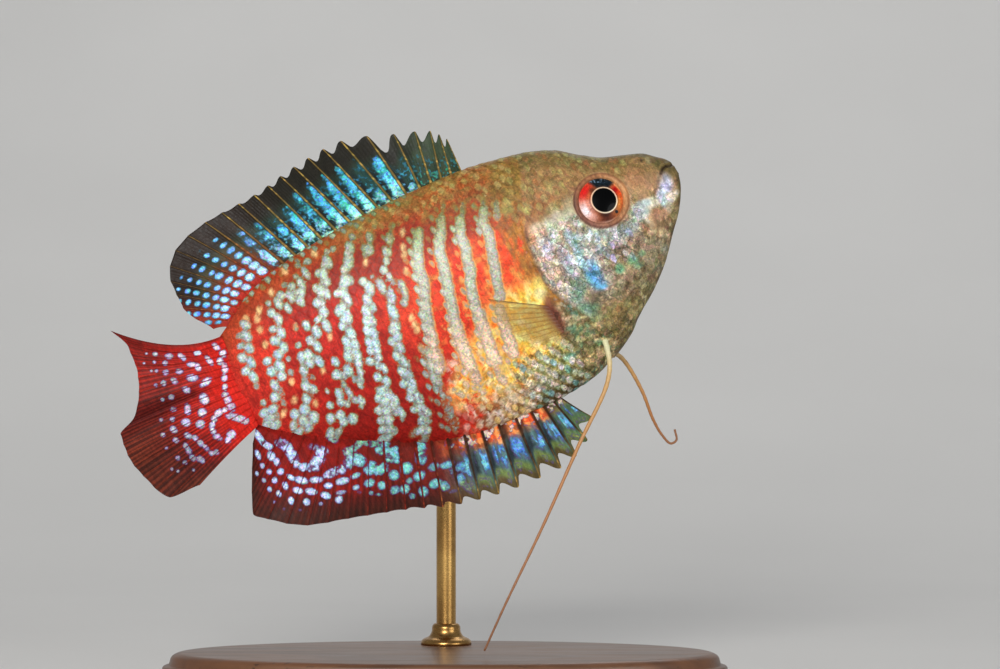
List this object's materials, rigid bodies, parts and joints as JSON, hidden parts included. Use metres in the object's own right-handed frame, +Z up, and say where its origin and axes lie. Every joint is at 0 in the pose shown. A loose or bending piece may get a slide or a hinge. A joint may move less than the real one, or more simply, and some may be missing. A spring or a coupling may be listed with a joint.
{
  "type": "dwarf gourami model",
  "caption": "Life-size still model of a male dwarf gourami, swimming nose-up with fins spread and thread-like pelvic feelers, on an oval base with a bent rod.",
  "frame": {"origin": "middle of the oval base's flat underside", "axes": "+Z up, +X towards the fish's head along the base's long side, +Y to the fish's left"},
  "size_m": [0.0743, 0.036, 0.0665],
  "materials": {
    "flank": "wet scaled skin, red with pale blue bars, satin gloss",
    "cheek": "olive and silvery skin with a pearly sheen",
    "jaw": "pale lilac and olive skin with a pearly sheen",
    "eye": "black pupil, gold ring and red iris under a polished clear dome",
    "dorsal_web": "brown fin web with turquoise patches and rows of blue dots, satin",
    "red_web": "red fin web with rows of pale blue dots, satin",
    "clear_web": "clear amber fin web, satin",
    "feeler": "pale yellow at the root to copper brown at the tip, satin",
    "stand_wood": "dark oiled walnut",
    "stand_metal": "satin brass"
  },
  "bodies": {
    "root": {"head": "cheek", "lower_jaw": "jaw", "gill_cover_r": "cheek", "gill_cover_l": "cheek", "eye_r": "eye", "eye_l": "eye", "trunk": "flank", "tail_stalk": "flank", "dorsal_fin": "dorsal_web", "anal_fin": "red_web", "tail_fin": "red_web", "pectoral_fin_r": "clear_web", "pectoral_fin_l": "clear_web", "pelvic_feeler_r": "feeler", "pelvic_feeler_l": "feeler", "stand_base": "stand_wood", "stand_rod": "stand_metal"}
  },
  "joints": []
}
